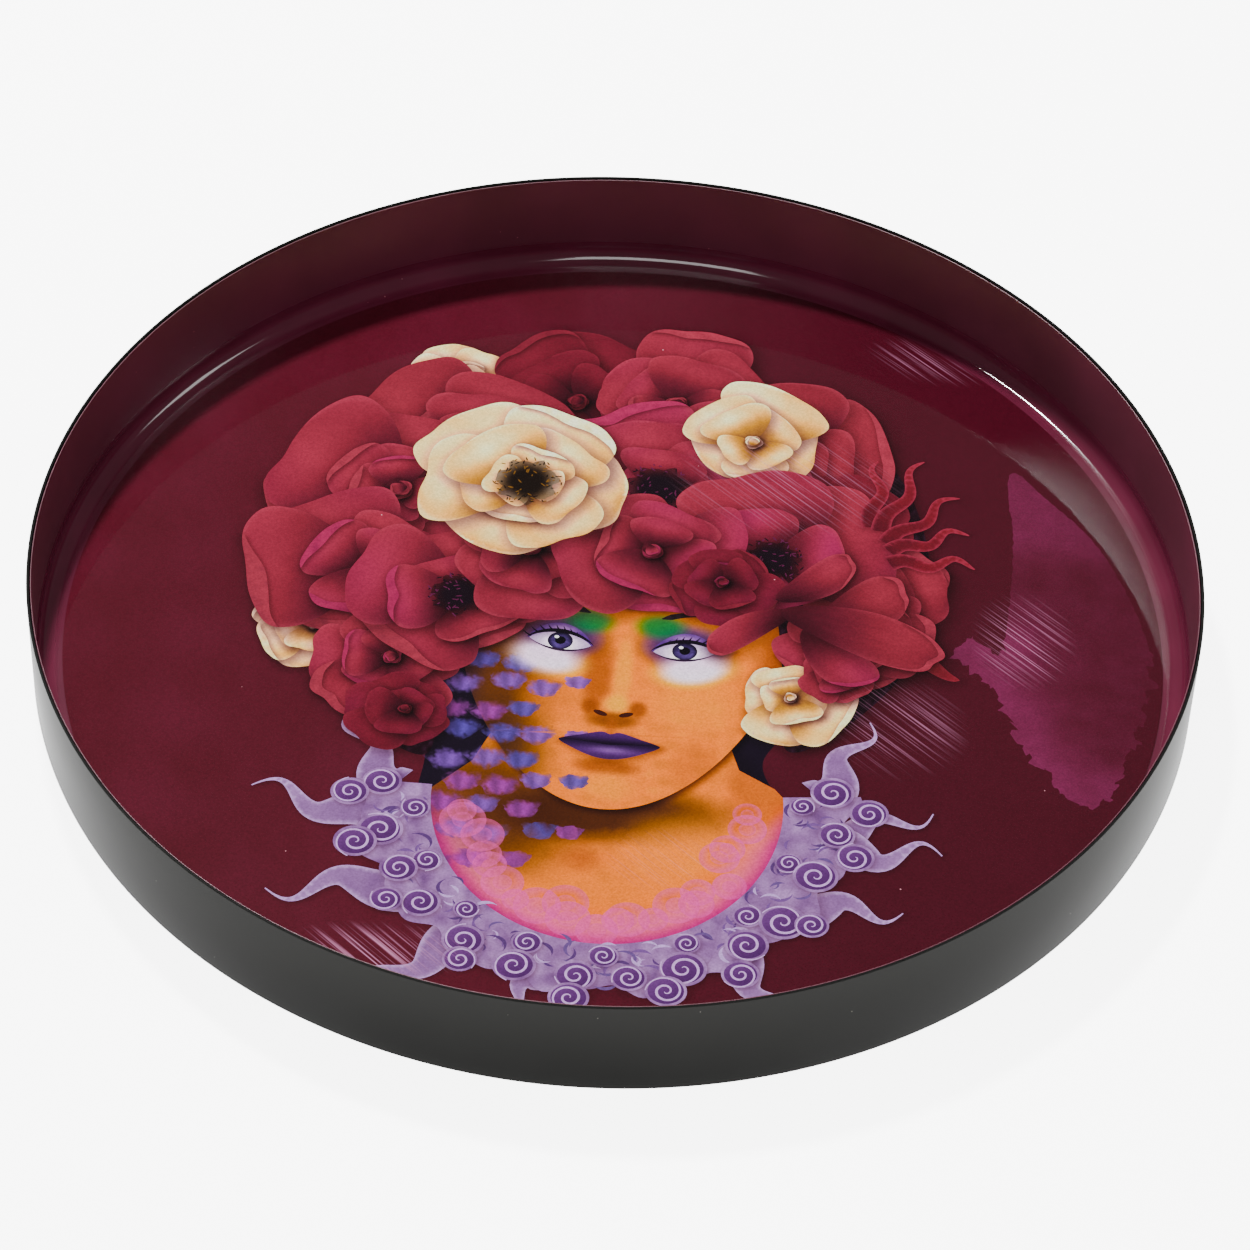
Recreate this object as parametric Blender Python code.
"""A round serving tray: a rolled and welded steel side wall round a steel floor disc, lined with poured
enamel, with a printed picture on its floor under clear lacquer. Metres, +Z up, origin under its middle."""

import math

import bmesh
import bpy
from mathutils import Vector

# Driving dimensions of the finished tray.
TRAY_RADIUS = 0.2000
TRAY_HEIGHT = 0.0400

# Sheet steel with its black powder coat.
STRIP_THICKNESS = 0.0010
RIM_ROUNDING = 0.0004
BASE_ROUNDING = 0.0009
ROUNDING_STEPS = 3
DISC_THICKNESS = 0.0008

# Welds: the bead in the strip's butt joint, and the ring that holds the disc in the strip.
SEAM_BEAD_WIDTH = 0.0010
SEAM_BEAD_DEPTH = 0.0008
SEAM_END_INSET = 0.0012
WELD_LEG = 0.0022
WELD_TO_ENAMEL = 0.00045

# What is poured and printed on the inside.
ENAMEL_WALL = 0.0004
ENAMEL_FLOOR = 0.0004
ENAMEL_BELOW_RIM = 0.0006
COVE_RADIUS = 0.0056
COVE_STEPS = 6
PICTURE_THICKNESS = 0.00015
PICTURE_RADIUS = 0.1900
LACQUER_THICKNESS = 0.0003
LACQUER_RADIUS = 0.1925
LACQUER_EDGE_STEP = 0.00012

# Clearance between pieces that touch.
SIDE_GAP = 0.0003
LAYER_GAP = 0.0002

# A ring has this many sides.
SIDES = 96
MERGE = 0.00001
SMOOTH_ANGLE = math.radians(40)

# Places worked out from the dimensions above.
STRIP_INNER = TRAY_RADIUS - STRIP_THICKNESS
DISC_RADIUS = STRIP_INNER - SIDE_GAP
ENAMEL_OUTER = STRIP_INNER - SIDE_GAP
ENAMEL_INNER = ENAMEL_OUTER - ENAMEL_WALL
ENAMEL_BOTTOM = DISC_THICKNESS + LAYER_GAP
ENAMEL_TOP = ENAMEL_BOTTOM + ENAMEL_FLOOR
PICTURE_BOTTOM = ENAMEL_TOP + LAYER_GAP
LACQUER_BOTTOM = PICTURE_BOTTOM + PICTURE_THICKNESS + LAYER_GAP


def clear_scene() -> None:
    for old in list(bpy.data.objects):
        bpy.data.objects.remove(old, do_unlink=True)


def finish_material(name, colour, roughness, metallic, alpha=1.0):
    """A Principled material with one colour."""
    material = bpy.data.materials.new(name)
    material.use_nodes = True
    shader = material.node_tree.nodes["Principled BSDF"]
    shader.inputs["Base Color"].default_value = (*colour, 1.0)
    shader.inputs["Roughness"].default_value = roughness
    shader.inputs["Metallic"].default_value = metallic
    shader.inputs["Alpha"].default_value = alpha
    return material


def arc(centre_r, centre_z, radius, start, end, steps):
    """Points (r, z) round a centre, from one angle to another in degrees, both ends included."""
    points = []
    for step in range(steps + 1):
        angle = math.radians(start + (end - start) * step / steps)
        points.append((centre_r + radius * math.cos(angle), centre_z + radius * math.sin(angle)))
    return points


def add_object(name, mesh, material):
    mesh.materials.append(material)
    mesh.shade_smooth()
    mesh.set_sharp_from_angle(angle=SMOOTH_ANGLE)
    made = bpy.data.objects.new(name, mesh)
    bpy.context.scene.collection.objects.link(made)
    return made


def turned(name, outline, closed, material):
    """Turns an outline in the XZ plane round Z. It runs down the outer side; an open one ends on the axis."""
    mesh = bpy.data.meshes.new(name)
    count = len(outline)
    edges = [(i, (i + 1) % count) for i in range(count if closed else count - 1)]
    mesh.from_pydata([(r, 0.0, z) for r, z in outline], edges, [])
    made = add_object(name, mesh, material)
    screw = made.modifiers.new("turn", "SCREW")
    screw.axis = "Z"
    screw.steps = SIDES
    screw.render_steps = SIDES
    screw.use_merge_vertices = True
    screw.merge_threshold = MERGE
    screw.use_smooth_shade = True
    return made


def strip_section():
    """The side wall's section: a tall thin strip with a rounded rim and a rounded lower outer edge."""
    rim_z = TRAY_HEIGHT - RIM_ROUNDING
    inner_rim = arc(STRIP_INNER + RIM_ROUNDING, rim_z, RIM_ROUNDING, 180, 90, ROUNDING_STEPS)
    outer_rim = arc(TRAY_RADIUS - RIM_ROUNDING, rim_z, RIM_ROUNDING, 90, 0, ROUNDING_STEPS)
    base = arc(TRAY_RADIUS - BASE_ROUNDING, BASE_ROUNDING, BASE_ROUNDING, 0, -90, ROUNDING_STEPS)
    return inner_rim + outer_rim + base + [(STRIP_INNER, 0.0)]


def side_wall(material):
    """The steel strip, rolled into a hoop that stays open at its butt joint, at the back (+Y)."""
    opening = (SEAM_BEAD_WIDTH + 2 * SIDE_GAP) / STRIP_INNER
    start = math.pi / 2 + opening / 2
    bm = bmesh.new()
    corners = [
        bm.verts.new((r * math.cos(start), r * math.sin(start), z)) for r, z in strip_section()
    ]
    first = bm.faces.new(corners)
    bmesh.ops.spin(
        bm,
        geom=[first, *first.edges, *first.verts],
        cent=Vector((0, 0, 0)),
        axis=Vector((0, 0, 1)),
        dvec=Vector((0, 0, 0)),
        angle=2 * math.pi - opening,
        steps=SIDES,
        use_merge=False,
        use_duplicate=False,
    )
    open_edges = [edge for edge in bm.edges if edge.is_boundary]
    if open_edges:
        bmesh.ops.holes_fill(bm, edges=open_edges, sides=len(corners))
    bmesh.ops.recalc_face_normals(bm, faces=bm.faces)
    mesh = bpy.data.meshes.new("side_wall")
    bm.to_mesh(mesh)
    bm.free()
    return add_object("side_wall", mesh, material)


def wall_seam_weld(material):
    """The bead of filler that closes the strip's butt joint, just short of its two edges."""
    height = TRAY_HEIGHT - 2 * SEAM_END_INSET
    bm = bmesh.new()
    bmesh.ops.create_cube(bm, size=1.0)
    bmesh.ops.scale(bm, vec=Vector((SEAM_BEAD_WIDTH, SEAM_BEAD_DEPTH, height)), verts=bm.verts)
    bmesh.ops.translate(
        bm,
        vec=Vector((0, TRAY_RADIUS - STRIP_THICKNESS / 2, TRAY_HEIGHT / 2)),
        verts=bm.verts,
    )
    upright = [edge for edge in bm.edges if abs(edge.verts[0].co.z - edge.verts[1].co.z) > height / 2]
    bmesh.ops.bevel(bm, geom=upright, offset=SEAM_BEAD_WIDTH / 4, segments=2, profile=0.5, affect="EDGES")
    mesh = bpy.data.meshes.new("wall_seam_weld")
    bm.to_mesh(mesh)
    bm.free()
    return add_object("wall_seam_weld", mesh, material)


def floor_disc(material):
    """The round of sheet steel that stands inside the strip, flush with its lower edge."""
    outline = [
        (0.0, DISC_THICKNESS),
        (DISC_RADIUS, DISC_THICKNESS),
        (DISC_RADIUS, 0.0),
        (0.0, 0.0),
    ]
    return turned("floor_disc", outline, False, material)


def floor_weld(material):
    """The ring of weld in the corner between the disc and the strip."""
    outer = STRIP_INNER - SIDE_GAP
    bottom = DISC_THICKNESS + LAYER_GAP
    outline = [(outer, bottom + WELD_LEG), (outer, bottom), (outer - WELD_LEG, bottom)]
    return turned("floor_weld", outline, True, material)


def enamel_liner(material):
    """The poured enamel: a floor, a cove round it and a skin up the wall, hollowed under for the weld."""
    rim = TRAY_HEIGHT - ENAMEL_BELOW_RIM
    relief = WELD_LEG + WELD_TO_ENAMEL
    cove = arc(ENAMEL_INNER - COVE_RADIUS, ENAMEL_TOP + COVE_RADIUS, COVE_RADIUS, -90, 0, COVE_STEPS)
    outline = [(0.0, ENAMEL_TOP), *cove, (ENAMEL_INNER, rim), (ENAMEL_OUTER, rim)]
    outline += [(ENAMEL_OUTER, ENAMEL_BOTTOM + relief), (ENAMEL_OUTER - relief, ENAMEL_BOTTOM)]
    outline += [(0.0, ENAMEL_BOTTOM)]
    return turned("enamel_liner", outline, False, material)


def picture_transfer(material):
    """The printed film that carries the picture."""
    top = PICTURE_BOTTOM + PICTURE_THICKNESS
    outline = [(0.0, top), (PICTURE_RADIUS, top), (PICTURE_RADIUS, PICTURE_BOTTOM), (0.0, PICTURE_BOTTOM)]
    return turned("picture_transfer", outline, False, material)


def clear_lacquer(material):
    """The clear gloss layer poured over the picture, with a softened edge."""
    top = LACQUER_BOTTOM + LACQUER_THICKNESS
    outline = [
        (0.0, top),
        (LACQUER_RADIUS - LACQUER_EDGE_STEP, top),
        (LACQUER_RADIUS, top - LACQUER_EDGE_STEP),
        (LACQUER_RADIUS, LACQUER_BOTTOM),
        (0.0, LACQUER_BOTTOM),
    ]
    return turned("clear_lacquer", outline, False, material)


def build() -> None:
    clear_scene()
    side_wall(finish_material("wall_powder_coat", (0.030, 0.030, 0.028), 0.38, 0.0))
    floor_disc(finish_material("disc_powder_coat", (0.028, 0.028, 0.026), 0.42, 0.0))
    wall_seam_weld(finish_material("seam_weld_steel", (0.33, 0.32, 0.31), 0.55, 1.0))
    floor_weld(finish_material("floor_weld_steel", (0.33, 0.32, 0.31), 0.55, 1.0))
    enamel_liner(finish_material("burgundy_enamel", (0.085, 0.012, 0.025), 0.10, 0.0))
    picture_transfer(finish_material("printed_film", (0.350, 0.060, 0.090), 0.35, 0.0))
    clear_lacquer(finish_material("clear_gloss_lacquer", (0.90, 0.88, 0.88), 0.05, 0.0, alpha=0.15))


build()
